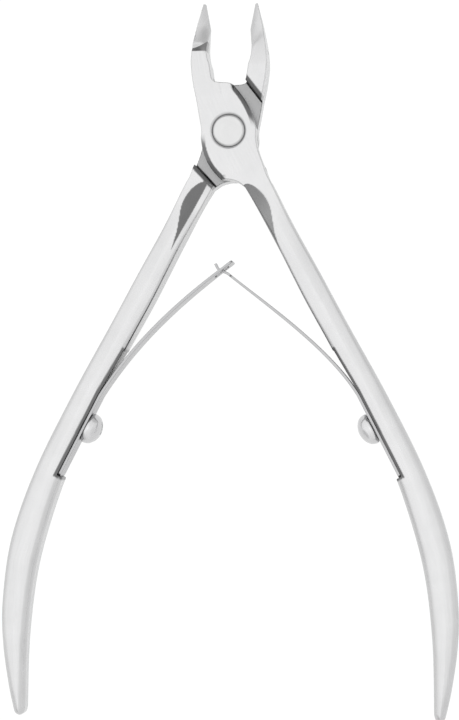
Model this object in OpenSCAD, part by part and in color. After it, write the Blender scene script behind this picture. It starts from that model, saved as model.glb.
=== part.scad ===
// Cuticle nipper with a lap joint, a headed pivot pin and two crossed leaf springs.
// It lies flat: +Z up, +Y towards the jaws, origin on the pivot axis at the underside.

/* [Joint] */
// Thickness of the lap joint and of both levers
joint_t = 6; // [5.6:0.1:6.6]
// Gap between the two lap plates
plate_gap = 0.04; // [0.02:0.01:0.1]
// Radius of the pin's flush head
pin_head_r = 2.72; // [2.5:0.02:2.8]
// Depth of the pin's head
pin_head_h = 1.2; // [0.8:0.1:1.6]
// Bevel around the pin's head and around its counterbore
pin_bevel = 0.26; // [0.15:0.01:0.3]
// Radius of the pin's shank
pin_r = 1.75; // [1.5:0.05:1.9]
// Radial running clearance of the shank in the rear plate
running_gap = 0.05; // [0.02:0.01:0.08]
// Radial gap of parts that are fixed together
fixed_gap = 0.03; // [0.02:0.01:0.04]
// Distance from the pivot to the handles' shoulders
handle_shoulder_r = 8; // [7.95:0.01:8.1]
// Distance from the pivot to the jaws' shoulders
jaw_shoulder_r = 7.46; // [7.3:0.01:7.6]
// Largest radius of a lap plate where it sweeps past a handle's shoulder
plate_r = 8.2; // [8:0.05:8.2]

/* [Pivot screw] */
// Radius of the pivot screw's head
pivot_screw_r = 2.45; // [2.2:0.05:2.6]
// Height of the pivot screw's head
pivot_screw_h = 1.05; // [0.8:0.05:1.2]
// Radius of the pivot screw's thread
pivot_thread_r = 0.9; // [0.7:0.05:1.1]
// Width of the pivot screw's slot
pivot_slot_w = 0.7; // [0.5:0.05:0.9]
// Depth of the pivot screw's slot
pivot_slot_d = 0.5; // [0.3:0.05:0.6]
// Height of the pivot screw's end above the underside
pivot_thread_top = 4; // [3:0.1:4.4]

/* [Jaws] */
// Distance from the pivot to the jaw tips, along Y
jaw_reach = 21.9; // [21.7:0.05:22.1]
// Depth of a jaw at its tip
tip_t = 1.6; // [1.2:0.1:2.4]
// Distance from the pivot at which the jaws start to thin towards the tip
jaw_thin_y = 13; // [11:0.5:14]

/* [Springs] */
// Thickness of a leaf spring
leaf_t = 0.5; // [0.4:0.05:0.6]
// Width of a leaf spring
leaf_w = 4; // [3:0.1:4.4]
// Width of the slot near the end of the left leaf
slot_w = 1.9; // [1.6:0.1:2.2]
// Width of the tongue that passes through the slot
tongue_w = 1.4; // [1:0.1:1.5]

/* [Spring screws] */
// Radius of a spring screw's head
screw_head_r = 2.7; // [2.6:0.05:2.8]
// Height of a spring screw's head
screw_head_h = 2.6; // [2:0.1:2.6]
// Height of the straight rim under the head's dome
screw_rim_h = 1; // [0.6:0.1:1.2]
// Radius of a spring screw's shank
screw_r = 1.2; // [0.9:0.1:1.3]
// Depth of the shank in the handle
screw_depth = 3; // [2:0.1:3.2]
// Width of a spring screw's slot
screw_slot_w = 0.6; // [0.4:0.05:0.8]
// Depth of a spring screw's slot
screw_slot_d = 0.7; // [0.5:0.05:1]

/* [Hidden] */
$fn = 96;
STEPS = 4;
EPS = 0.01;
// Reach of a cutting shape past the whole object, and past one small face
FAR = 60;
CLEAR = 3;
mid_z = joint_t / 2;
// Empty length at the end of a threaded hole
THREAD_ROOM = 0.2;
plate_z = mid_z + plate_gap / 2;

// Outer edge of the right jaw, from its shoulder to the tip
JAW_OUTER = [
    [5.5, 5], [5.9, 7.3], [6.22, 9.3], [6.4, 11.3], [6.35, 12.8],
    [6.15, 14.6], [5.92, 16], [5.55, 18], [5.05, 20], [4.6, jaw_reach]
];
// Inner edge of the right jaw, from the heel of the cutting edge to the root
JAW_INNER = [
    [3.34, 17.5], [3.6, 15.6], [3.8, 14], [3.65, 12.4], [3.3, 11.2], [2.98, 9.2], [2.5, 8.3]
];
// Distance of the cutting edge's tip from the centre line
CUTTING_TIP = 4.16;
// Outer edge of the right handle, from its shoulder to the end
HANDLE_OUTER = [
    [5.7, -5.2], [7.5, -9.4], [10.5, -15.3], [15, -23.4], [19.7, -32.1], [26.4, -44.2],
    [32.65, -56.8], [36.7, -68.4], [38.15, -79], [38, -86], [37.05, -92.6], [36.13, -96.9]
];
// Inner edge of the right handle, from the end back to the crotch
HANDLE_INNER = [
    [34.13, -96.9], [33.85, -84.6], [32.35, -72.6], [28.9, -60.6], [25.2, -51.8], [21.48, -44.4],
    [17.18, -36.3], [12.8, -28.4], [8.35, -19.7], [4.64, -12.8], [2.75, -9.5], [2.35, -9.15]
];
// Outer edge of the joint on the right, from the jaw down to the handle
JOINT_SIDE = [
    [6.22, 9.3], [5.9, 7.3], [5.45, 5.2], [5, 2.6], [4.62, 0.5], [4.62, -1.5], [5.02, -3.5],
    [5.75, -5.5], [6.45, -7.5], [7.5, -9.4]
];
// Right half of the joint's lower and upper ends, between the levers
JOINT_CROTCH = [[2.75, -9.5], [1.6, -8.65], [0, -8.2]];
JOINT_TOP = [[0, 8.1], [1.85, 8.2], [2.6, 8.55], [3.05, 9.3]];

// Directions in which the two shoulders face away from the pivot
JAW_SHOULDER_ANGLE = 37.7;
HANDLE_SHOULDER_ANGLE = -42;
// Arcs that bound the upper lap plate: below the left jaw and beside the right jaw
LOWER_ARC_CENTRE = [4.75, -0.9];
LOWER_ARC_R = 9.4;
UPPER_ARC_CENTRE = [-10.3, -2.9];
UPPER_ARC_R = 15.3;
// Centre and radius of a handle's rounded end
END_CENTRE = [35.13, -96.9];
END_R = 1;

// Where the spring's foot lies on the right handle's inner face
foot_top = [21.48, -44.4];
foot_end = [28.38, -57.9];
foot_len = norm(foot_end - foot_top);
foot_dir = (foot_end - foot_top) / foot_len;
foot_angle = atan2(foot_dir[1], foot_dir[0]);
into_handle = [-foot_dir[1], foot_dir[0]];
seat_depth = leaf_t + 0.02;
SEAT_RUNOUT = 8.5;
screw_at = 5.8;

// Bezier handles of the two leaves, right side, from the foot to the free end
LEAF_START = foot_top + into_handle * leaf_t / 2;
LEFT_LEAF = [LEAF_START, [15.6, -34.9], [8.3, -28.4], [-0.6, -21.8]];
RIGHT_LEAF = [LEAF_START, [16.9, -36.5], [6.7, -29.4], [0.42, -24.35]];
TONGUE = [[0.9, -24.7], [-1.9, -23.2], [-2.4, -22.1]];
TONGUE_T = 0.4;
SLOT_CENTRE = 2.55;
SLOT_LENGTH = 2.9;

function mirrored(points) = [for (p = points) [-p[0], p[1]]];
function reversed(points) = [for (i = [len(points) - 1 : -1 : 0]) points[i]];

// Catmull-Rom curve through a list of points
function spline_at(a, b, c, d, t) =
    (2 * b + (c - a) * t + (2 * a - 5 * b + 4 * c - d) * t * t + (3 * b - a - 3 * c + d) * t * t * t) / 2;
function at(points, i) = points[max(0, min(len(points) - 1, i))];
function spline(points) = concat(
    [for (i = [0 : len(points) - 2]) for (k = [0 : STEPS - 1])
        spline_at(at(points, i - 1), points[i], points[i + 1], at(points, i + 2), k / STEPS)],
    [points[len(points) - 1]]
);

function bezier_at(b, t) =
    pow(1 - t, 3) * b[0] + 3 * pow(1 - t, 2) * t * b[1] + 3 * (1 - t) * t * t * b[2] + pow(t, 3) * b[3];
function bezier(b, n) = [for (i = [0 : n]) bezier_at(b, i / n)];

// Outline of a strip of even thickness along a line of points
function normal_at(line, i) =
    let (d = at(line, i + 1) - at(line, i - 1)) [-d[1], d[0]] / norm(d);
function strip(line, t) = concat(
    [for (i = [0 : len(line) - 1]) line[i] + normal_at(line, i) * t / 2],
    [for (i = [len(line) - 1 : -1 : 0]) line[i] - normal_at(line, i) * t / 2]
);

module jaw_outline() {
    polygon(concat(spline(JAW_OUTER), [[CUTTING_TIP, jaw_reach]], spline(JAW_INNER)));
}

module handle_outline() {
    union() {
        polygon(concat(spline(HANDLE_OUTER), spline(HANDLE_INNER)));
        translate(END_CENTRE) circle(END_R);
    }
}

// Everything that the two levers cover at the joint
module joint_outline() {
    polygon(concat(
        spline(JOINT_SIDE), spline(JOINT_CROTCH), reversed(mirrored(spline(JOINT_CROTCH))),
        reversed(mirrored(spline(JOINT_SIDE))), reversed(mirrored(spline(JOINT_TOP))), spline(JOINT_TOP)
    ));
}

// The side of a shoulder line, square to an angle, where a lever has its full thickness
module beyond_shoulder(angle, distance) {
    rotate(angle) translate([distance, -FAR]) square(2 * FAR);
}

// Right jaw, thinned towards its tip and cut square at its shoulder
module jaw() {
    intersection() {
        linear_extrude(joint_t) intersection() {
            jaw_outline();
            beyond_shoulder(JAW_SHOULDER_ANGLE, jaw_shoulder_r);
        }
        rotate([90, 0, 90]) linear_extrude(FAR) polygon([
            [0, 0], [jaw_thin_y, 0], [jaw_reach + EPS, mid_z - tip_t / 2],
            [jaw_reach + EPS, mid_z + tip_t / 2], [jaw_thin_y, joint_t], [0, joint_t]
        ]);
    }
}

// Right handle with the milled seat and the threaded hole for its spring
module handle() {
    difference() {
        linear_extrude(joint_t) intersection() {
            handle_outline();
            beyond_shoulder(HANDLE_SHOULDER_ANGLE, handle_shoulder_r);
        }
        on_foot(0) translate([0, 0, -EPS]) linear_extrude(joint_t + 2 * EPS) polygon([
            [-SEAT_RUNOUT, 0], [0, seat_depth], [foot_len, seat_depth],
            [foot_len, -CLEAR], [-SEAT_RUNOUT, -CLEAR]
        ]);
        on_foot(screw_at) translate([0, 0, mid_z]) rotate([-90, 0, 0])
            cylinder(h = seat_depth + screw_depth + THREAD_ROOM, r = screw_r + fixed_gap);
    }
}

// Moves children to a distance along the foot: X along it, Y into the handle
module on_foot(distance) {
    translate(foot_top + foot_dir * distance) rotate(foot_angle) children();
}

// The lap plate of the front lever, seen from above
module plate_outline() {
    difference() {
        joint_outline();
        difference() {
            translate([-FAR, -FAR]) square(FAR);
            intersection() {
                translate(LOWER_ARC_CENTRE) circle(LOWER_ARC_R);
                circle(plate_r);
            }
        }
        difference() {
            square(FAR);
            translate(UPPER_ARC_CENTRE) circle(UPPER_ARC_R);
        }
    }
}

// Left jaw, upper lap plate and right handle in one forging, without its holes
module lever_blank() {
    mirror([1, 0, 0]) jaw();
    handle();
    translate([0, 0, plate_z]) linear_extrude(joint_t - plate_z) plate_outline();
}

module front_lever() {
    color("gainsboro") difference() {
        lever_blank();
        cylinder(h = joint_t, r = pin_r + fixed_gap);
        translate([0, 0, joint_t - pin_head_h]) cylinder(h = joint_t, r = pin_head_r + fixed_gap);
        translate([0, 0, joint_t - pin_bevel])
            cylinder(h = pin_bevel, r1 = pin_head_r + fixed_gap, r2 = pin_head_r + fixed_gap + pin_bevel);
    }
}

module rear_lever() {
    color("silver") difference() {
        translate([0, 0, joint_t]) rotate([0, 180, 0]) lever_blank();
        translate([0, 0, -EPS]) cylinder(h = joint_t, r = pin_r + running_gap);
        translate([0, 0, -EPS])
            cylinder(h = pivot_screw_h + running_gap + EPS, r = pivot_screw_r + running_gap);
    }
}

// Headed pin: a flush disc in front, a plain shank, and a thread for the screw behind
module pivot_pin() {
    color("whitesmoke") difference() {
        union() {
            translate([0, 0, joint_t - pin_head_h]) cylinder(h = pin_head_h - pin_bevel, r = pin_head_r);
            translate([0, 0, joint_t - pin_bevel])
                cylinder(h = pin_bevel, r1 = pin_head_r, r2 = pin_head_r - pin_bevel);
            translate([0, 0, pivot_screw_h]) cylinder(h = joint_t - pin_head_h - pivot_screw_h + EPS, r = pin_r);
        }
        translate([0, 0, -EPS]) cylinder(h = pivot_thread_top + THREAD_ROOM, r = pivot_thread_r + fixed_gap);
    }
}

// Slotted screw that holds the pin from the underside
module pivot_screw() {
    color("silver") difference() {
        union() {
            cylinder(h = pivot_screw_h, r = pivot_screw_r);
            cylinder(h = pivot_thread_top, r = pivot_thread_r);
        }
        cube([FAR, pivot_slot_w, 2 * pivot_slot_d], center = true);
    }
}

// Foot and blade of a leaf on the right side, as one strip with a hole for its screw
module leaf(path) {
    difference() {
        translate([0, 0, mid_z - leaf_w / 2]) linear_extrude(leaf_w)
            polygon(strip(concat([foot_end + into_handle * leaf_t / 2], bezier(path, 18)), leaf_t));
        on_foot(screw_at) translate([0, 0, mid_z]) rotate([90, 0, 0])
            cylinder(h = 2 * CLEAR, r = screw_r + fixed_gap, center = true);
    }
}

module left_spring() {
    tip = LEFT_LEAF[3];
    along = (LEFT_LEAF[2] - tip) / norm(LEFT_LEAF[2] - tip);
    color("darkgray") mirror([1, 0, 0]) difference() {
        leaf(LEFT_LEAF);
        translate([tip[0], tip[1], mid_z]) rotate(atan2(along[1], along[0]))
            translate([SLOT_CENTRE, 0, 0]) cube([SLOT_LENGTH, CLEAR, slot_w], center = true);
    }
}

module right_spring() {
    color("darkgray") union() {
        leaf(RIGHT_LEAF);
        translate([0, 0, mid_z - tongue_w / 2]) linear_extrude(tongue_w) polygon(strip(TONGUE, TONGUE_T));
    }
}

// Slotted screw on the right side, its head a straight rim with a dome on it
module spring_screw() {
    dome_h = screw_head_h - screw_rim_h;
    dome_r = (screw_head_r * screw_head_r + dome_h * dome_h) / (2 * dome_h);
    on_foot(screw_at) translate([0, 0, mid_z]) rotate([90, 0, 0]) difference() {
        union() {
            intersection() {
                translate([0, 0, screw_head_h - dome_r]) sphere(dome_r);
                cylinder(h = screw_head_h + EPS, r = screw_head_r);
            }
            translate([0, 0, -seat_depth - screw_depth])
                cylinder(h = seat_depth + screw_depth + EPS, r = screw_r);
        }
        translate([0, 0, screw_head_h]) cube([FAR, screw_slot_w, 2 * screw_slot_d], center = true);
    }
}

module left_spring_screw() {
    color("lightgray") mirror([1, 0, 0]) spring_screw();
}

module right_spring_screw() {
    color("lightgray") spring_screw();
}

front_lever();
rear_lever();
pivot_pin();
pivot_screw();
left_spring();
right_spring();
left_spring_screw();
right_spring_screw();
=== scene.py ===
"""Cuticle nipper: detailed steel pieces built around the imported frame.

Shapes are signed distance functions in millimetres, meshed on a grid and drawn onto their
exact surface. The two levers are the same forging, one of them turned half a turn about Y,
so each feature is described once, on the front lever with its left jaw and right handle.
"""
import math

import bpy
import numpy as np
from mathutils import Matrix, Vector


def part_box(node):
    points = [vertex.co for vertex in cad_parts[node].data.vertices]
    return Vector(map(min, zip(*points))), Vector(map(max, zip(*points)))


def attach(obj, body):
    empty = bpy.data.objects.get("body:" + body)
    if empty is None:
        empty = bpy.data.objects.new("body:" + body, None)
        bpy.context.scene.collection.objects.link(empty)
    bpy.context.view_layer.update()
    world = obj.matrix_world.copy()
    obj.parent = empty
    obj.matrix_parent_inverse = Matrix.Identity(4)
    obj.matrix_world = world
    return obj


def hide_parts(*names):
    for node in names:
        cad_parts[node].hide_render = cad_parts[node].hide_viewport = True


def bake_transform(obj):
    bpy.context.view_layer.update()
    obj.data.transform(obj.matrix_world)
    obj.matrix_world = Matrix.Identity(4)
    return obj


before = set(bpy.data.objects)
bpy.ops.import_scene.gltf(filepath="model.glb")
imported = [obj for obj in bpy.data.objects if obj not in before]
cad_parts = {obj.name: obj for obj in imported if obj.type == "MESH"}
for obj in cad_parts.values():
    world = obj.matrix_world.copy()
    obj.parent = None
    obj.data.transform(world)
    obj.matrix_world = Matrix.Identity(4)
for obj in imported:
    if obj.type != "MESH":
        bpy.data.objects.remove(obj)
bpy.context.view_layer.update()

MM = 0.001
# Depth of the joint, its middle, and how far the jaws reach, from the CAD lever
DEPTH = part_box("front_lever")[1][2] / MM
MID = DEPTH / 2
TIP_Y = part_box("front_lever")[1][1] / MM


# ---------------------------------------------------------------- curves and distances

def spline(points, steps=8):
    """Catmull-Rom curve through points, in plain lists of x and y."""
    p = np.array(points, float)
    p = np.vstack([p[0], p, p[-1]])
    t = np.arange(steps)[:, None] / steps
    out = []
    for a, b, c, d in zip(p, p[1:], p[2:], p[3:]):
        cubic = 2 * b + (c - a) * t + (2 * a - 5 * b + 4 * c - d) * t**2
        out.append((cubic + (3 * b - a - 3 * c + d) * t**3) / 2)
    return np.vstack(out + [p[-1:]])


def bezier(points, steps):
    """Cubic Bezier curve as rows of x and y."""
    a, b, c, d = np.array(points, float)
    t = np.linspace(0, 1, steps + 1)[:, None]
    return (1 - t) ** 3 * a + 3 * (1 - t) ** 2 * t * b + 3 * (1 - t) * t**2 * c + t**3 * d


def polygon(x, y, loop):
    """Signed distance to a closed outline, negative inside."""
    best = np.full(np.broadcast(x, y).shape, 1e9)
    inside = np.zeros(best.shape, bool)
    for (ax, ay), (bx, by) in zip(loop, np.roll(loop, -1, axis=0)):
        ex, ey = bx - ax, by - ay
        px, py = x - ax, y - ay
        length2 = ex * ex + ey * ey
        if length2 < 1e-12:
            continue
        t = np.clip((px * ex + py * ey) / length2, 0, 1)
        best = np.minimum(best, (px - t * ex) ** 2 + (py - t * ey) ** 2)
        if ay != by:
            inside ^= ((ay > y) != (by > y)) & (px < ex * py / ey)
    return np.where(inside, -1, 1) * np.sqrt(best)


def both(a, b, r):
    """Where two shapes overlap, with the edge between them rounded to r."""
    rounded = np.hypot(np.maximum(a + r, 0), np.maximum(b + r, 0))
    return np.minimum(np.maximum(a, b), -r) + rounded


def either(a, b, r):
    """Two shapes joined, with the corner between them filled to r."""
    filled = np.hypot(np.maximum(r - a, 0), np.maximum(r - b, 0))
    return np.maximum(np.minimum(a, b), r) - filled


def ramp(v, low, high):
    """0 below low, 1 above high and a smooth step between them."""
    t = np.clip((v - low) / (high - low), 0, 1)
    return t * t * (3 - 2 * t)


def heading(angle):
    """Unit vector at an angle in degrees from +X."""
    return math.cos(math.radians(angle)), math.sin(math.radians(angle))


# ---------------------------------------------------------------- meshing

def cells_at(values):
    """Cells of a grid whose corners don't all have the same sign, and their index map."""
    halves = (slice(None, -1), slice(1, None))
    corners = [(values < 0)[i, j, k] for i in halves for j in halves for k in halves]
    mixed = np.any(corners, axis=0) & ~np.all(corners, axis=0)
    index = np.full(mixed.shape, -1)
    index[mixed] = np.arange(mixed.sum())
    return np.argwhere(mixed), index


def surface(shape, xs, ys, zs):
    """Quads on the zero surface of shape, a function of x, y and z, over a grid of lines."""
    axes = (xs, ys, zs)
    values = shape(*np.meshgrid(*axes, indexing="ij", sparse=True))
    cells, index = cells_at(values)
    total = np.zeros((len(cells), 3))
    count = np.zeros(len(cells))
    i, j, k = cells.T
    for axis in range(3):
        for u in (0, 1):
            for v in (0, 1):
                start = [i, j, k]
                others = [n for n in range(3) if n != axis]
                start[others[0]] = start[others[0]] + u
                start[others[1]] = start[others[1]] + v
                end = list(start)
                end[axis] = end[axis] + 1
                a, b = values[tuple(start)], values[tuple(end)]
                cut = (a < 0) != (b < 0)
                t = np.where(cut, a / np.where(cut, a - b, 1), 0)
                for n in range(3):
                    p, q = axes[n][start[n]], axes[n][end[n]]
                    total[:, n] += np.where(cut, p + (q - p) * t, 0)
                count += cut
    points = total / count[:, None]
    faces = []
    for axis in range(3):
        a = values[tuple(slice(None, -1) if n == axis else slice(1, -1) for n in range(3))]
        b = values[tuple(slice(1, None) if n == axis else slice(1, -1) for n in range(3))]
        cut = (a < 0) != (b < 0)
        at = np.argwhere(cut)
        rises = (a < 0)[cut]
        others = [n for n in range(3) if n != axis]
        quad = []
        for du, dv in ((0, 0), (1, 0), (1, 1), (0, 1)):
            cell = at.copy()
            cell[:, others[0]] += du
            cell[:, others[1]] += dv
            quad.append(index[tuple(cell.T)])
        quad = np.stack(quad, 1)
        flip = rises if axis == 1 else ~rises
        quad[flip] = quad[flip][:, ::-1]
        faces.append(quad)
    return points, np.vstack(faces)


def slope(shape, p, step=0.004):
    """Value and gradient of shape at rows of points."""
    value = shape(*p.T)
    rise = [shape(*(p + step * axis).T) for axis in np.eye(3)]
    return value, (np.array(rise) - value).T / step


def draw_onto(shape, points, limit):
    """Moves points onto the surface of shape, each by no more than limit."""
    p = points.copy()
    for _ in range(3):
        value, gradient = slope(shape, p)
        move = gradient * (value / np.maximum((gradient**2).sum(1), 0.04))[:, None]
        p -= move
    moved = p - points
    far = np.maximum(np.linalg.norm(moved, axis=1) / limit, 1)
    return points + moved / far[:, None]


def graded(*stretches):
    """Grid lines from (start, spacing) pairs and a last (end, None)."""
    lines = []
    for (start, step), (end, _) in zip(stretches, stretches[1:]):
        lines.append(np.linspace(start, end, max(1, round((end - start) / step)), endpoint=False))
    return np.concatenate(lines + [[stretches[-1][0]]])


def make(name, points, faces, normals=None, grain=None, painted_shade=None):
    """A mesh object from millimetre points.

    grain is each point's place across and along the brushing, and the last argument how much shade is
    painted on it.
    """
    mesh = bpy.data.meshes.new(name)
    mesh.from_pydata((points * MM).tolist(), [], faces.tolist())
    mesh.polygons.foreach_set("use_smooth", [True] * len(mesh.polygons))
    if grain is not None:
        corner = np.empty(len(mesh.loops), int)
        mesh.loops.foreach_get("vertex_index", corner)
        layer = mesh.uv_layers.new(name="grain")
        layer.data.foreach_set("uv", grain[corner].ravel())
    # A float per point that darkens the steel's colour, as painted shade.
    if painted_shade is not None:
        mesh.attributes.new("painted_shade", "FLOAT", "POINT").data.foreach_set("value", painted_shade)
    mesh.update()
    mesh.validate()
    if normals is not None:
        mesh.normals_split_custom_set_from_vertices(normals.tolist())
    obj = bpy.data.objects.new(name, mesh)
    bpy.context.scene.collection.objects.link(obj)
    return obj


def unit(vectors):
    """Rows of vectors scaled to length 1."""
    return vectors / np.maximum(np.linalg.norm(vectors, axis=1), 1e-9)[:, None]


def sculpt(shape, xs, ys, zs, limit):
    """Points, quads and normals of a shape's surface, its points moved by no more than limit."""
    points, faces = surface(shape, xs, ys, zs)
    points = draw_onto(shape, points, limit)
    return points, faces, unit(slope(shape, points)[1])


# ---------------------------------------------------------------- levers

# Outline of the front lever from above: left jaw, lap plate and right handle
JAW_OUTER = [
    [-4.6, TIP_Y], [-5.05, 20], [-5.55, 18], [-5.92, 16], [-6.15, 14.6], [-6.35, 12.8],
    [-6.4, 11.3], [-6.22, 9.3], [-5.9, 7.3], [-5.45, 5.2], [-5, 2.6], [-4.62, 0.5], [-4.6, -0.6],
]
LOWER_ARC = dict(centre=(4.75, -0.9), radius=9.4, start=183, end=227)
CROTCH = [[-1.1, -8.25], [0, -8.2], [1.6, -8.65], [2.75, -9.5]]
HANDLE_INNER = [
    [2.75, -9.5], [4.64, -12.8], [8.35, -19.7], [12.8, -28.4], [17.18, -36.3], [21.48, -44.4],
    [25.2, -51.8], [28.9, -60.6], [32.35, -72.6], [33.85, -84.6], [34.13, -96.6],
]
HANDLE_END = [[34.13, -96.6], [34.4, -97.5], [35.12, -97.9], [35.85, -97.5], [36.13, -96.8]]
HANDLE_OUTER = [
    [36.13, -96.8], [37.05, -92.6], [38, -86], [38.15, -79], [36.7, -68.4], [32.65, -56.8],
    [26.4, -44.2], [19.7, -32.1], [15, -23.4], [10.5, -15.3], [7.5, -9.4], [6.45, -7.5],
    [5.75, -5.5], [5.02, -3.5], [4.62, -1.5], [4.62, 0.5],
]
UPPER_ARC = dict(centre=(-10.3, -2.9), radius=15.3, start=16, end=43)
JAW_INNER = [
    [0.85, 7.7], [0, 8.05], [-1.85, 8.2], [-2.6, 8.5], [-2.98, 9.2], [-3.3, 11.2],
    [-3.65, 12.4], [-3.8, 14], [-3.6, 15.6], [-3.34, 17.5],
]
CUTTING_TIP = [-4.16, TIP_Y]
CUTTING_HALF_ANGLE = 10.785
JAW_SHOULDER = dict(angle=180 - 37.7, distance=7.46)
HANDLE_SHOULDER = dict(angle=-42, distance=8.0)
SHOULDER_FILLET = 0.4
PLATE_GAP = 0.04
# Width of the bevels on the plate and shoulders and along the spring seat, and their angle to the top
CHAMFER = 0.7
SEAT_BEVEL = 0.42
CHAMFER_ANGLE = 38
# Rounding where two faces meet, and of the levers' outer edges: on the joint, and more on neck and grip
CREASE = 0.06
HOLE_CREASE = 0.05
ROUNDING = 0.15
NECK_ROUNDING = 0.4
NECK_SPAN = (9, 22)
GRIP_ROUNDING = 0.55
GRIP_SPAN = (30, 60)
# Most of its half depth that an edge's rounding may take where the lever is thin
MOST_ROUNDING = 0.6
# Groove around the pin's head, shared between the head and its counterbore
GROOVE = 0.7
GROOVE_DEPTH = 0.4


def arc(centre, radius, start, end, steps=12):
    """Points on an arc, with its angles in degrees."""
    angles = np.radians(np.linspace(start, end, steps))
    return np.array(centre) + radius * np.stack([np.cos(angles), np.sin(angles)], 1)


OUTLINE = np.vstack([
    spline(JAW_OUTER)[:-1], arc(**LOWER_ARC), spline(CROTCH)[:-1], spline(HANDLE_INNER)[:-1],
    spline(HANDLE_END)[:-1], spline(HANDLE_OUTER)[:-1], arc(**UPPER_ARC)[:-1], spline(JAW_INNER),
    [CUTTING_TIP],
])
INNER_EDGE = spline(HANDLE_INNER)
# Middle of the lever from jaw tip to handle end, which the brushing follows
CENTRE_LINE = np.array([
    [-4.3, 22], [-5, 14], [-4.4, 10], [-2, 4], [0, 0], [3, -6], [6.5, -12], [11.5, -21.5],
    [23.9, -44.4], [30.8, -59], [34.9, -72], [35.9, -84], [35.1, -98],
])
# Ground facet on the neck: its width against the distance along it, where it starts and its heading,
# and how steeply it falls towards the inner edge
FACET = spline([
    [-0.9, 0], [-0.75, 0.6], [-0.1, 1.2], [1.3, 1.8], [3, 2.05], [4.7, 1.9], [6.8, 1.2], [8.8, 0.55],
    [10.6, 0.2], [12, 0],
])
FACET_START = (3.9, -9.5)
FACET_ANGLE = -61.7
FACET_SLOPE = 0.55
# The handle is crowned, more with distance from the pivot, and thins towards its end
CROWN = 0.42
CROWN_REACH = 2.4
CROWN_POWER = 1.6
CROWN_SPAN = (11, 24)
END_THINNING = 0.5
END_SPAN = (50, 97)
# Notch on top of the left jaw: its lower edge, the top of its riser, and the slopes of floor and riser
NOTCH_Y = 13.45
NOTCH_TOP = 15.1
NOTCH_FLOOR = 0.77
NOTCH_FLOOR_EASE = 0.55
NOTCH_RISER = 0.5
NOTCH_X = -5.9
NOTCH_WIDTH = 2.1
# The jaw's own depth starts at JAW_Y. Past the notch its top falls evenly, then faster near its tip,
# and its underside rises
JAW_Y = 6
TOP_FALL = 0.12
TIP_FALL = 0.05
TIP_FALL_Y = 15
UNDERCUT = 2.1
UNDERCUT_Y = 11
UNDERCUT_LENGTH = 10.9
TAPER_POWER = 1.5
# The cutting wedge: half its thickness at the edge, how much it gains and over what depth, and where
# it runs out into the jaw
WEDGE_EDGE = 0.1
WEDGE_GAIN = 2
WEDGE_REACH = 1.6
WEDGE_RUNOUT = 3
WEDGE_SPAN = (-18.5, -9.5)
WEDGE_BLEND = 0.12


def chamfer(side, top, width):
    """A plane that cuts the corner of a side and a top, at CHAMFER_ANGLE to the top."""
    up, across = heading(CHAMFER_ANGLE)
    return (side + width) * across + top * up


def beyond(x, y, angle, distance):
    """Distance to a shoulder's face, negative on its far side from the pivot."""
    cx, cy = heading(angle)
    return distance - x * cx - y * cy


def to_line(x, y, points):
    """Distance to an open line of points."""
    best = np.full(np.broadcast(x, y).shape, 1e9)
    for (ax, ay), (bx, by) in zip(points, points[1:]):
        ex, ey = bx - ax, by - ay
        px, py = x - ax, y - ay
        t = np.clip((px * ex + py * ey) / (ex * ex + ey * ey), 0, 1)
        best = np.minimum(best, (px - t * ex) ** 2 + (py - t * ey) ** 2)
    return np.sqrt(best)


def least(a, b, soft):
    """The smaller of two values, blended over soft, and never above either."""
    return np.minimum(a, b) - soft * np.log1p(np.exp(-np.abs(a - b) / soft))


def across_jaw(x):
    """0 at the left jaw's outer side and 1 at its inner side, beside the notch."""
    return np.clip((x - NOTCH_X) / NOTCH_WIDTH, 0, 1)


def notch_faces(x, y):
    """Depth of the notch's floor and of its riser, each from 0 at its own edge."""
    across = across_jaw(x)
    floor = (NOTCH_FLOOR - NOTCH_FLOOR_EASE * across) * (y - NOTCH_Y)
    return floor, NOTCH_RISER * (NOTCH_TOP + across - y)


def jaw_half_depth(x, y, z):
    """Half the left jaw's depth: a notch and a taper above, a longer taper below, and a wedge."""
    floor, riser = notch_faces(x, y)
    notch = np.maximum(np.minimum(floor, riser), TOP_FALL * (y - NOTCH_Y))
    above = MID - np.clip(notch, 0, None) - TIP_FALL * np.maximum(y - TIP_FALL_Y, 0) ** TAPER_POWER
    below = MID - UNDERCUT * (np.clip(y - UNDERCUT_Y, 0, None) / UNDERCUT_LENGTH) ** TAPER_POWER
    taper = np.where(z > MID, above, below)
    slant = math.tan(math.radians(CUTTING_HALF_ANGLE))
    behind = np.maximum(-x - slant * y, 0) * math.cos(math.radians(CUTTING_HALF_ANGLE))
    wedge = WEDGE_EDGE + WEDGE_GAIN * (1 - np.exp(-behind / WEDGE_REACH))
    wedge = wedge + WEDGE_RUNOUT * ramp(-y, *WEDGE_SPAN)
    return least(taper, wedge, WEDGE_BLEND)


def facet_place(x, y, land):
    """Distance from the inner side of the neck's facet, and the facet's width there."""
    cx, cy = heading(FACET_ANGLE)
    u = (x - FACET_START[0]) * cx + (y - FACET_START[1]) * cy
    return to_line(x, y, INNER_EDGE) - land, np.interp(u, FACET[:, 0], FACET[:, 1])


def handle_half_depth(x, y, edge, land):
    """Half the right handle's depth: crowned, with a ground facet beside its inner edge."""
    v, width = facet_place(x, y, land)
    facet = FACET_SLOPE * np.clip(width - v, 0, width)
    away = ramp(np.hypot(x, y), *CROWN_SPAN)
    crown = CROWN * away * (1 - np.clip(-edge / CROWN_REACH, 0, 1)) ** CROWN_POWER
    thin = END_THINNING * ramp(-y, *END_SPAN)
    return MID - np.where(y < 0, facet + crown + thin, 0)


def on_arc(x, y):
    """1 along the lap plate's two arcs and 0 elsewhere on its outline."""
    lower = ramp(-y, 0.3, 3) * ramp(-x, 0.2, 1.2)
    upper = ramp(y, 0.3, 3) * ramp(x, 0.1, 0.9)
    return np.where(x < 0, lower, upper)


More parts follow.
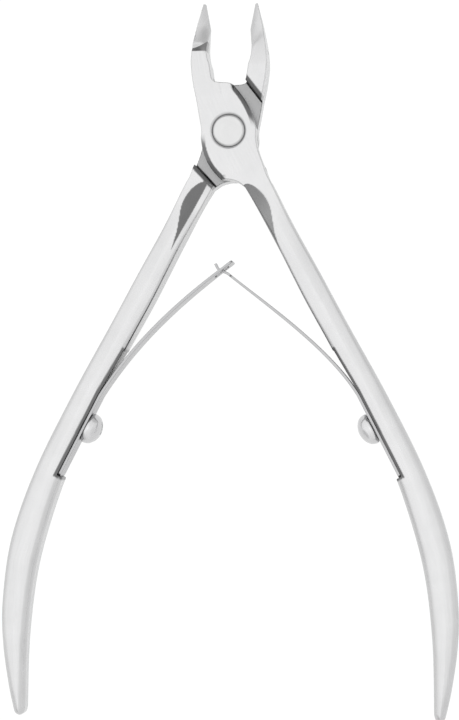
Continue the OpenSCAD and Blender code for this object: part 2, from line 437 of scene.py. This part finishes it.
def from_shoulder(x, y):
    """Distance from the nearer shoulder's face, negative in the full-depth part."""
    return np.minimum(beyond(x, y, **JAW_SHOULDER), beyond(x, y, **HANDLE_SHOULDER))


def lever(x, y, z, land, bore_r, head_r, head_h):
    """The front lever: everything within its outline, less what lies under its plate."""
    edge = polygon(x, y, OUTLINE)
    half = np.where(y > JAW_Y, jaw_half_depth(x, y, z), handle_half_depth(x, y, edge, land))
    far = np.hypot(x, y)
    softer = ROUNDING + NECK_ROUNDING * ramp(far, *NECK_SPAN) + GRIP_ROUNDING * ramp(far, *GRIP_SPAN)
    rounding = np.where(y > 0, ROUNDING, softer)
    height = np.abs(z - MID) - half
    blank = both(edge, height, np.minimum(rounding, MOST_ROUNDING * half))
    blank = both(blank, chamfer(edge, height, CHAMFER * on_arc(x, y)), CREASE)
    shoulder = from_shoulder(x, y)
    block = both(shoulder, chamfer(shoulder, -z, CHAMFER), CREASE)
    body = both(blank, either(MID + PLATE_GAP / 2 - z, block, SHOULDER_FILLET), CREASE)
    head = far - head_r - GROOVE * ramp(np.abs(z - MID), MID - GROOVE_DEPTH, MID + GROOVE_DEPTH)
    hole = np.minimum(far - bore_r, np.maximum(head, DEPTH - head_h - z))
    seat = seat_cut(x, y)
    body = both(both(body, -hole, HOLE_CREASE), -seat, CREASE)
    return both(body, chamfer(-seat, height, SEAT_BEVEL), CREASE)


# ---------------------------------------------------------------- spring seats

# Where a leaf's foot lies on the handle's inner face, the directions along it and into the handle
FOOT_TOP = np.array([21.48, -44.4])
FOOT_END = np.array([28.38, -57.9])
FOOT_LENGTH = float(np.linalg.norm(FOOT_END - FOOT_TOP))
ALONG = (FOOT_END - FOOT_TOP) / FOOT_LENGTH
INTO = np.array([-ALONG[1], ALONG[0]])
LEAF_T = 0.5
SEAT_DEPTH = LEAF_T + 0.02
# How far the seat's cutter ran out above the foot, and the screw's distance from the foot's top
SEAT_RUNOUT = 8.5
SCREW_AT = 5.8


def seat_cut(x, y):
    """The milled seat for a leaf's foot on the right handle's inner face."""
    s = (x - FOOT_TOP[0]) * ALONG[0] + (y - FOOT_TOP[1]) * ALONG[1]
    v = (x - FOOT_TOP[0]) * INTO[0] + (y - FOOT_TOP[1]) * INTO[1]
    floor = SEAT_DEPTH * np.clip(1 + s / SEAT_RUNOUT, 0, 1)
    return np.maximum(np.maximum(v - floor, -3 - v), np.maximum(s - FOOT_LENGTH, -SEAT_RUNOUT - s))


# Painted shade, how far the colour is darkened: on the lap faces, bevels and notch, and on walls near the
# joint
LAP_SHADE = 0.64
BEVEL_SHADE = 1.0
NOTCH_SHADE = 0.8
WALL_SHADE = 0.15
# Lap faces reach this far from the pivot and lie this close to mid-depth
LAP_REACH = 10
LAP_BAND = 0.12
# Painted shade on walls grows with the steepness of their normals and fades with distance from the pivot
WALL_TILT = (-0.5, -0.2)
WALL_FADE = (-75, -45)
SHADE_BLEND = 0.05


def strip(distance, width):
    """1 within width of the edge where distance is 0, and 0 further in."""
    return ramp(distance, -width - SHADE_BLEND, -width + SHADE_BLEND)


def painted_shade_mask(points, normals, land, neck_shade):
    """How much shade is painted onto each point of a lever, from 0 to 1, where the steel lies in shade or
    reflects something dark.

    land is the strip between the neck's facet and the inner edge, and the last argument is how much shade
    is painted onto the facet itself.
    """
    # Every term below is painted shade: it darkens the colour where the steel lies in shade or reflects
    # something dark.
    x, y, z = points.T
    far = np.hypot(x, y)
    v, width = facet_place(x, y, land)
    facet = neck_shade * ramp(v, -0.08, 0.02) * ramp(width - v, -0.06, 0.06) * (y < 0) * (width > 0.02)
    arcs = BEVEL_SHADE * strip(polygon(x, y, OUTLINE), CHAMFER) * on_arc(x, y)
    shoulder = from_shoulder(x, y)
    shoulders = BEVEL_SHADE * strip(shoulder, CHAMFER) * (shoulder < 0.3)
    seat = BEVEL_SHADE * strip(-seat_cut(x, y), SEAT_BEVEL)
    floor, riser = notch_faces(x, y)
    notch = NOTCH_SHADE * ramp(floor, -0.03, 0.03) * ramp(riser - floor, 0, 0.1)
    lap = LAP_SHADE * (far < LAP_REACH) * (np.abs(z - MID) < LAP_BAND)
    wall = WALL_SHADE * ramp(-np.abs(normals[:, 2]), *WALL_TILT) * ramp(-far, *WALL_FADE) * (y < 0)
    above = (z > MID + LAP_BAND) * np.maximum(arcs, notch)
    below = (z < MID - LAP_BAND) * shoulders
    return np.max([facet, seat, lap, wall, above, below], axis=0)


def add_lever(name, turned, neck_shade, **sizes):
    """A lever with its brushing and painted shade; turned makes it the rear one."""
    # Grid lines, closest around the joint
    xs = graded((-7, 0.16), (-3.5, 0.11), (3.5, 0.17), (38.6, None))
    ys = graded((-98.6, 0.34), (-26, 0.17), (-3.4, 0.11), (3.4, 0.14), (22.4, None))
    zs = np.linspace(-0.3, DEPTH + 0.3, 45)

    def shape(x, y, z):
        return lever(x, y, z, **sizes)

    points, faces, normals = sculpt(shape, xs, ys, zs, 0.1)
    order = np.argsort(CENTRE_LINE[:, 1])
    centre = np.interp(points[:, 1], CENTRE_LINE[order, 1], CENTRE_LINE[order, 0])
    grain = np.stack([points[:, 0] - centre + 0.7 * points[:, 2], points[:, 1]], 1)
    # Painted shade: how much each point's colour is darkened to stand in for shade and dark reflections.
    painted_shade = painted_shade_mask(points, normals, sizes["land"], neck_shade)
    if turned:
        points = points * (-1, 1, -1) + (0, 0, DEPTH)
        normals = normals * (-1, 1, -1)
    return make(name, points, faces, normals, grain, painted_shade)


# ---------------------------------------------------------------- leaf springs

LEAF_W = 4.0
# Each leaf's blade as the four points of a Bezier curve, then the points its hooked tongue follows
LEAF_START = FOOT_TOP + INTO * LEAF_T / 2
LEFT_LEAF = [LEAF_START, (15.6, -34.9), (8.3, -28.4), (-0.6, -21.8)]
RIGHT_LEAF = [LEAF_START, (16.9, -36.5), (6.7, -29.4), (-0.3, -23.8)]
HOOK = [[-1.1, -23.45], [-1.65, -23.25], [-2.0, -22.9], [-2.4, -22.15]]
# The wide part stops TONGUE_ROOT before the blade's curve does, and the tongue's rectangle runs
# TONGUE_EXTRA past both ends of the tongue. The grid stops sooner, so the mesh is open at its tip
TONGUE_W = 1.5
TONGUE_ROOT = 0.8
TONGUE_EXTRA = 0.8
# The slot's centre is measured from the end of its leaf
SLOT = dict(centre=2.55, length=2.9, width=1.9)
# Corners of a plain leaf's tip, of the wide part before a tongue, and of the tongue and slot
TIP_CORNER = 0.6
WIDE_CORNER = 0.5
TONGUE_CORNER = 0.3
TONGUE_FILLET = 0.4
SLOT_CORNER = 0.35
# A leaf is a little thinner over the last part of its blade, and its edges are rounded
TIP_THINNING = 0.05
THINNING_LENGTH = 12
LEAF_EDGE = 0.09
SCREW_R = 1.2
SCREW_ROOM = 0.05


def leaf_path(blade, hook):
    """A leaf's centre line from its foot's end, the distance along it, and where its blade ends."""
    path = np.vstack([[FOOT_END + INTO * LEAF_T / 2], bezier(blade, 60)])
    last = len(path) - 1
    if len(hook):
        path = np.vstack([path, spline([path[-1]] + list(hook))[1:]])
    s = np.concatenate([[0], np.cumsum(np.linalg.norm(np.diff(path, axis=0), axis=1))])
    return path, s, s[last]


# A path's direction is taken between points this far ahead and behind
DIRECTION_STEP = 0.4


def along_path(path, s, distance):
    """Places and unit normals on a path at distances along it."""
    p = np.stack([np.interp(distance, s, path[:, n]) for n in (0, 1)], 1)
    ahead = np.stack([np.interp(distance + DIRECTION_STEP, s, path[:, n]) for n in (0, 1)], 1)
    behind = np.stack([np.interp(distance - DIRECTION_STEP, s, path[:, n]) for n in (0, 1)], 1)
    d = unit(ahead - behind)
    return p, np.stack([-d[:, 1], d[:, 0]], 1)


def box2(x, y, half_x, half_y, r):
    """Signed distance to a rectangle with corners rounded to r."""
    qx, qy = np.abs(x) - half_x + r, np.abs(y) - half_y + r
    outside = np.hypot(np.maximum(qx, 0), np.maximum(qy, 0))
    return outside + np.minimum(np.maximum(qx, qy), 0) - r


def tongued(d, w, wide_end, end):
    """Outline of a leaf with a tongue, from the distance along it and across it."""
    wide = box2(d - wide_end / 2, w, wide_end / 2, LEAF_W / 2, WIDE_CORNER)
    half = (end - wide_end) / 2 + TONGUE_EXTRA
    tongue = box2(d - (wide_end + end) / 2, w, half, TONGUE_W / 2, TONGUE_CORNER)
    return either(wide, tongue, TONGUE_FILLET)


def slotted(d, w, end):
    """Outline of a leaf with a slot near its end, from the distance along it and across it."""
    wide = box2(d - end / 2, w, end / 2, LEAF_W / 2, TIP_CORNER)
    gap = box2(d - end + SLOT["centre"], w, SLOT["length"] / 2, SLOT["width"] / 2, SLOT_CORNER)
    return np.maximum(wide, -gap)


def add_leaf(name, blade, hook, mirrored):
    """A leaf spring, shaped flat (along d, across w, through t) and bent onto its centre line."""
    path, s, blade_end = leaf_path(blade, hook)
    if len(hook):
        blade_end = blade_end - TONGUE_ROOT

    def shape(d, w, t):
        flat = tongued(d, w, blade_end, s[-1]) if len(hook) else slotted(d, w, blade_end)
        screw_hole = np.hypot(d - FOOT_LENGTH + SCREW_AT, w) - SCREW_R - SCREW_ROOM
        flat = np.maximum(flat, -screw_hole)
        thin = TIP_THINNING * ramp(d, blade_end - THINNING_LENGTH, blade_end)
        return both(flat, np.abs(t) - LEAF_T / 2 + thin, LEAF_EDGE)

    ds = graded((-0.3, 0.2), (4, 0.35), (blade_end - 6, 0.13), (s[-1] + 0.4, None))
    ws = np.linspace(-LEAF_W / 2 - 0.2, LEAF_W / 2 + 0.2, 34)
    ts = np.linspace(-LEAF_T / 2 - 0.1, LEAF_T / 2 + 0.1, 11)
    flat, faces, facing = sculpt(shape, ds, ws, ts, 0.06)
    place, across = along_path(path, s, flat[:, 0])
    heading_2d = np.stack([across[:, 1], -across[:, 0]], 1)
    points = np.column_stack([place + across * flat[:, 2:], MID + flat[:, 1]])
    normals = np.column_stack([heading_2d * facing[:, :1] + across * facing[:, 2:], facing[:, 1]])
    grain = np.stack([flat[:, 1] + flat[:, 2], flat[:, 0]], 1)
    faces = faces[:, ::-1]
    if mirrored:
        points, normals, faces = points * (-1, 1, 1), normals * (-1, 1, 1), faces[:, ::-1]
    return make(name, points, faces, normals, grain)


# ---------------------------------------------------------------- pin and screws

PIN_HEAD_R = 2.72
PIN_HEAD_H = 1.2
PIN_R = 1.75
PIN_SHANK = (1.05, 4.95)
# The pivot screw, in the underside: its head, thread and the direction across its slot
PIVOT_SCREW_R = 2.45
PIVOT_HEAD = (0.01, 1.05)
PIVOT_HEAD_EDGE = 0.16
PIVOT_THREAD_R = 0.9
PIVOT_THREAD = (1, 4)
PIVOT_SLOT = (0.5, 0.866)
PIVOT_SLOT_HALF = 0.35
PIVOT_SLOT_DEPTH = 0.5
# A spring screw: its domed head, the slot's floor above the head's foot, and its thread
DOME_R = 3.1
DOME_HEAD_R = 2.7
DOME_H = 2.6
DOME_SIDE_EDGE = 0.5
DOME_FOOT_EDGE = 0.6
DOME_SLOT_HALF = 0.3
DOME_SLOT_FLOOR = 1.9
DOME_THREAD = (-3.4, 0.2)
SLOT_EDGE = 0.07


def between(z, span):
    """Signed distance to a layer, negative between the two heights of span."""
    low, high = span
    return np.abs(z - (low + high) / 2) - (high - low) / 2


def pin_shape(x, y, z):
    """Flush head with a rounded rim, and the shank below it."""
    r = np.hypot(x, y)
    side = r - PIN_HEAD_R + GROOVE * ramp(z, DEPTH - GROOVE_DEPTH, DEPTH + GROOVE_DEPTH)
    head = both(side, between(z, (DEPTH - PIN_HEAD_H, DEPTH)), HOLE_CREASE)
    shank = np.maximum(r - PIN_R, between(z, PIN_SHANK))
    return np.minimum(head, shank)


def pivot_screw_shape(x, y, z):
    """Flat slotted head in the underside, and its thread above it."""
    r = np.hypot(x, y)
    head = both(r - PIVOT_SCREW_R, between(z, PIVOT_HEAD), PIVOT_HEAD_EDGE)
    across = np.abs(x * PIVOT_SLOT[0] + y * PIVOT_SLOT[1])
    slot = np.maximum(across - PIVOT_SLOT_HALF, z - PIVOT_SLOT_DEPTH)
    shank = np.maximum(r - PIVOT_THREAD_R, between(z, PIVOT_THREAD))
    return np.minimum(both(head, -slot, SLOT_EDGE), shank)


def spring_screw_shape(x, y, z):
    """Domed slotted head on the plane z = 0, rounded at its foot, and its thread below."""
    r = np.hypot(x, y)
    dome = np.sqrt(r * r + (z - (DOME_H - DOME_R)) ** 2) - DOME_R
    head = both(both(dome, r - DOME_HEAD_R, DOME_SIDE_EDGE), -z, DOME_FOOT_EDGE)
    slot = np.maximum(np.abs(x) - DOME_SLOT_HALF, DOME_SLOT_FLOOR - z)
    shank = np.maximum(r - SCREW_R, between(z, DOME_THREAD))
    return np.minimum(both(head, -slot, SLOT_EDGE), shank)


def add_turned(name, shape, reach, low, high, step, place=None):
    """A small round piece on a grid of the given step; place turns and moves it into its seat."""
    xs = np.arange(-reach, reach + step, step)
    points, faces, normals = sculpt(shape, xs, xs, np.arange(low, high + step, step), 0.05)
    grain = np.stack([np.hypot(points[:, 0], points[:, 1]), np.arctan2(points[:, 1], points[:, 0])], 1)
    if place is not None:
        turn, origin = place
        points = points @ turn + origin
        normals = normals @ turn
        if np.linalg.det(turn) < 0:
            faces = faces[:, ::-1]
    return make(name, points, faces, normals, grain)


def screw_place(side, slot_angle):
    """Axes and origin of a spring screw on the right (side 1) or left (side -1) handle.

    slot_angle, in degrees from the handle's direction, says how far the screw was tightened.
    """
    out = np.array([-INTO[0], -INTO[1], 0.0])
    along = np.array([ALONG[0], ALONG[1], 0.0])
    up = np.array([0, 0, 1.0])
    c, s = heading(slot_angle)
    turn = np.stack([along * c + up * s, np.cross(out, along * c + up * s), out])
    at = FOOT_TOP + ALONG * SCREW_AT
    origin = np.array([at[0], at[1], MID])
    flip = np.array([side, 1, 1])
    return turn * flip, origin * flip


# ---------------------------------------------------------------- materials

def nodes_of(material):
    """The material's node tree and its shader."""
    material.use_nodes = True
    tree = material.node_tree
    return tree, tree.nodes["Principled BSDF"]


def new(tree, kind, **values):
    """A new node, with values for its inputs or its settings."""
    node = tree.nodes.new(kind)
    for key, value in values.items():
        if key in node.inputs:
            node.inputs[key].default_value = value
        else:
            setattr(node, key, value)
    return node


def stretched_noise(tree, source, scale, detail=3.0):
    """Noise with its own scale on each axis, so that it can be drawn out along the grain."""
    mapping = new(tree, "ShaderNodeMapping")
    mapping.inputs["Scale"].default_value = scale
    tree.links.new(source, mapping.inputs["Vector"])
    noise = new(tree, "ShaderNodeTexNoise", Detail=detail)
    noise.inputs["Scale"].default_value = 1.0
    tree.links.new(mapping.outputs["Vector"], noise.inputs["Vector"])
    return noise.outputs["Fac"]


NOISE_RANGE = (0.3, 0.7)


def mapped(tree, value, low, high):
    """Noise, which is mostly within NOISE_RANGE, turned into low to high."""
    node = new(tree, "ShaderNodeMapRange")
    node.inputs["From Min"].default_value = NOISE_RANGE[0]
    node.inputs["From Max"].default_value = NOISE_RANGE[1]
    node.inputs["To Min"].default_value = low
    node.inputs["To Max"].default_value = high
    tree.links.new(value, node.inputs["Value"])
    return node.outputs["Result"]


# Tone where shade is painted fully, against unshaded steel
SHADE_TONE = 0.3
# Clouds per metre, and depth of the brushing in metres
CLOUD_SCALE = 260
BUMP_DEPTH = 0.00002


def steel(name, tone, rough, brushing, cross=14.0, along=0.12, mottling=0.06):
    """Brushed steel: fine streaks along the grain, cloudy roughness and slight tone changes.

    It is darker where the mesh's attribute paints shade onto it.
    """
    material = bpy.data.materials.new(name)
    tree, shader = nodes_of(material)
    shader.inputs["Metallic"].default_value = 1.0
    grain = new(tree, "ShaderNodeUVMap", uv_map="grain").outputs["UV"]
    coords = new(tree, "ShaderNodeTexCoord").outputs["Object"]
    streaks = stretched_noise(tree, grain, (cross, along, 1))
    fine = stretched_noise(tree, grain, (cross * 3.1, along * 3, 1), 2.0)
    clouds = stretched_noise(tree, coords, (CLOUD_SCALE, CLOUD_SCALE, CLOUD_SCALE), 4.0)

    tint = new(tree, "ShaderNodeMix", data_type="RGBA")
    tint.inputs["A"].default_value = (*[c * (1 - mottling) for c in tone], 1)
    tint.inputs["B"].default_value = (*[min(1, c * (1 + mottling)) for c in tone], 1)
    mix = new(tree, "ShaderNodeMath", operation="ADD")
    tree.links.new(mapped(tree, clouds, 0, 0.5), mix.inputs[0])
    tree.links.new(mapped(tree, streaks, 0, 0.5), mix.inputs[1])
    tree.links.new(mix.outputs[0], tint.inputs["Factor"])
    # Painted shade: the colour is darkened as far as the mesh's shade attribute says.
    painted_shade = new(tree, "ShaderNodeAttribute", attribute_name="painted_shade").outputs["Fac"]
    painted_darkening = new(tree, "ShaderNodeMix", data_type="RGBA", blend_type="MULTIPLY")
    painted_darkening.inputs["B"].default_value = (SHADE_TONE, SHADE_TONE, SHADE_TONE, 1)
    tree.links.new(painted_shade, painted_darkening.inputs["Factor"])
    tree.links.new(tint.outputs["Result"], painted_darkening.inputs["A"])
    tree.links.new(painted_darkening.outputs["Result"], shader.inputs["Base Color"])

    spread = new(tree, "ShaderNodeMath", operation="ADD")
    tree.links.new(mapped(tree, clouds, rough * 0.85, rough * 1.1), spread.inputs[0])
    tree.links.new(mapped(tree, fine, -0.02, 0.03), spread.inputs[1])
    tree.links.new(spread.outputs[0], shader.inputs["Roughness"])

    height = new(tree, "ShaderNodeMath", operation="ADD")
    tree.links.new(streaks, height.inputs[0])
    tree.links.new(fine, height.inputs[1])
    bump = new(tree, "ShaderNodeBump")
    bump.inputs["Strength"].default_value = brushing
    bump.inputs["Distance"].default_value = BUMP_DEPTH
    tree.links.new(height.outputs[0], bump.inputs["Height"])
    tree.links.new(bump.outputs["Normal"], shader.inputs["Normal"])
    return material


def plain_floor():
    """A matt white table that gives a little light of its own, so that it stays white."""
    material = bpy.data.materials.new("pale_table")
    tree, shader = nodes_of(material)
    shader.inputs["Base Color"].default_value = (0.08, 0.08, 0.08, 1)
    shader.inputs["Roughness"].default_value = 0.9
    shader.inputs["Specular IOR Level"].default_value = 0
    shader.inputs["Emission Color"].default_value = (1, 1, 1, 1)
    shader.inputs["Emission Strength"].default_value = 0.96
    return material


# ---------------------------------------------------------------- studio

VIEW_DIRECTION = Vector((0.12, -0.048, 1)).normalized()
VIEW_DISTANCE = 0.36
PICTURE_UP = Vector((-0.004, 1, 0))
VIEW_TARGET = Vector((0, -0.0383, 0.003))
FIELD_HEIGHT = 0.1207


def add_camera():
    """A camera that looks at VIEW_TARGET with FIELD_HEIGHT of the object's plane in its frame."""
    data = bpy.data.cameras.new("camera")
    data.sensor_fit = "VERTICAL"
    data.sensor_height = 24
    data.lens = data.sensor_height * VIEW_DISTANCE / FIELD_HEIGHT
    data.clip_start = 0.01
    camera = bpy.data.objects.new("camera", data)
    back = VIEW_DIRECTION
    right = PICTURE_UP.cross(back).normalized()
    camera.matrix_world = Matrix((right, back.cross(right), back)).transposed().to_4x4()
    camera.location = VIEW_TARGET + back * VIEW_DISTANCE
    bpy.context.scene.collection.objects.link(camera)
    bpy.context.scene.camera = camera


# Brightness of the tent against the height of a direction, from the horizon to overhead
TENT = ((0.0, 0.7), (0.3, 0.72), (0.6, 0.76), (0.85, 0.8), (0.95, 0.86), (1.0, 1.0))
TENT_STRENGTH = 1.55
# Grey cards: bearing and height in degrees, inner and outer angular radius, and darkness.
# The first is a wide lamp on the left, so its darkness is negative.
CARDS = (
    (180, 25, 20, 75, -0.15),
    (-36, 34, 16, 38, 0.08),
    (222, 12, 18, 34, 0.35),
    (100, 8, 14, 30, 0.6),
    (52, 10, 12, 26, 0.3),
)


def add_world():
    """A white tent, brightest overhead, with grey cards that darken the steel's bevels and sides."""
    world = bpy.data.worlds.new("tent")
    bpy.context.scene.world = world
    world.use_nodes = True
    tree = world.node_tree
    direction = new(tree, "ShaderNodeTexCoord").outputs["Generated"]
    parts = new(tree, "ShaderNodeSeparateXYZ")
    tree.links.new(direction, parts.inputs[0])
    tone = new(tree, "ShaderNodeValToRGB")
    elements = tone.color_ramp.elements
    for n, (place, grey) in enumerate(TENT):
        element = elements[n] if n < 2 else elements.new(place)
        element.position = place
        element.color = (grey, grey, grey, 1)
    tree.links.new(parts.outputs["Z"], tone.inputs[0])
    light = tone.outputs[0]
    for bearing, height, inner, outer, darkness in CARDS:
        cx, cy = heading(bearing)
        level, rise = heading(height)
        near = new(tree, "ShaderNodeVectorMath", operation="DOT_PRODUCT")
        near.inputs[1].default_value = (cx * level, cy * level, rise)
        tree.links.new(direction, near.inputs[0])
        card = new(tree, "ShaderNodeMapRange", interpolation_type="SMOOTHSTEP")
        card.inputs["From Min"].default_value = math.cos(math.radians(outer))
        card.inputs["From Max"].default_value = math.cos(math.radians(inner))
        card.inputs["To Min"].default_value = 1
        card.inputs["To Max"].default_value = 1 - darkness
        tree.links.new(near.outputs["Value"], card.inputs["Value"])
        dimmed = new(tree, "ShaderNodeVectorMath", operation="SCALE")
        tree.links.new(light, dimmed.inputs[0])
        tree.links.new(card.outputs["Result"], dimmed.inputs["Scale"])
        light = dimmed.outputs[0]
    tree.links.new(light, tree.nodes["Background"].inputs["Color"])
    tree.nodes["Background"].inputs["Strength"].default_value = TENT_STRENGTH


# The floor in metres, a hair below the object so that no two faces lie in one plane
FLOOR_HALF = 0.6
FLOOR_Z = -0.00005


def add_floor():
    """A plain square floor under the object."""
    corners = np.array([[-1, -1], [1, -1], [1, 1], [-1, 1]]) * FLOOR_HALF
    level = np.full(len(corners), FLOOR_Z)
    floor = make("table", np.column_stack([corners, level]) / MM, np.array([[0, 1, 2, 3]]))
    floor.data.materials.append(plain_floor())


# ---------------------------------------------------------------- assembly

add_camera()
add_world()
add_floor()
bpy.context.scene.view_settings.view_transform = "Standard"

LEVER_STEEL = steel("lever_steel", (0.55, 0.55, 0.553), 0.24, 0.4)
PIN_STEEL = steel("pin_steel", (0.54, 0.54, 0.54), 0.22, 0.35, cross=9, along=0.6)
SCREW_STEEL = steel("screw_steel", (0.58, 0.58, 0.585), 0.18, 0.3, cross=9, along=0.6)
LEAF_STEEL = steel("leaf_steel", (0.39, 0.39, 0.395), 0.28, 0.4, cross=8, along=0.2)


def finish(piece, body, node, material):
    """Gives a rigid piece its material and its body, and hides the CAD node it stands for."""
    piece.data.materials.append(material)
    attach(piece, body)
    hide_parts(node)


# Each lever's hole takes the pin's head in front and the pivot screw's head behind, with some play
# The neck facet gets less painted shade on the front lever than on the rear one.
front_lever = add_lever("front_lever_forging", turned=False, neck_shade=0.75, land=0.1,
                        bore_r=1.78, head_r=2.75, head_h=PIN_HEAD_H)
rear_lever = add_lever("rear_lever_forging", turned=True, neck_shade=1, land=1.0,
                       bore_r=1.8, head_r=2.5, head_h=1.1)
pin = add_turned("headed_pin", pin_shape, reach=3.0, low=1.0, high=6.2, step=0.1)
pivot_screw = add_turned("slotted_pivot_screw", pivot_screw_shape, reach=2.7, low=-0.2, high=4.2, step=0.1)
finish(front_lever, "front", "front_lever", LEVER_STEEL)
finish(rear_lever, "rear", "rear_lever", LEVER_STEEL)
finish(pin, "front", "pivot_pin", PIN_STEEL)
finish(pivot_screw, "front", "pivot_screw", SCREW_STEEL)
for name, side, slot_angle, body in (("left", -1, 84, "rear"), ("right", 1, 97, "front")):
    screw = add_turned(name + "_domed_screw", spring_screw_shape, reach=2.9, low=-3.6, high=2.9, step=0.11,
                       place=screw_place(side, slot_angle))
    finish(screw, body, name + "_spring_screw", SCREW_STEEL)


def finish_leaf(name, side, blade, hook, node):
    """A leaf spring with its material, its transform baked into its mesh, and its CAD node hidden."""
    leaf = add_leaf(name, blade, hook, side < 0)
    leaf.data.materials.append(LEAF_STEEL)
    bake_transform(leaf)
    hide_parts(node)


finish_leaf("left_leaf_spring", -1, LEFT_LEAF, (), "left_spring")
finish_leaf("right_leaf_spring", 1, RIGHT_LEAF, HOOK, "right_spring")
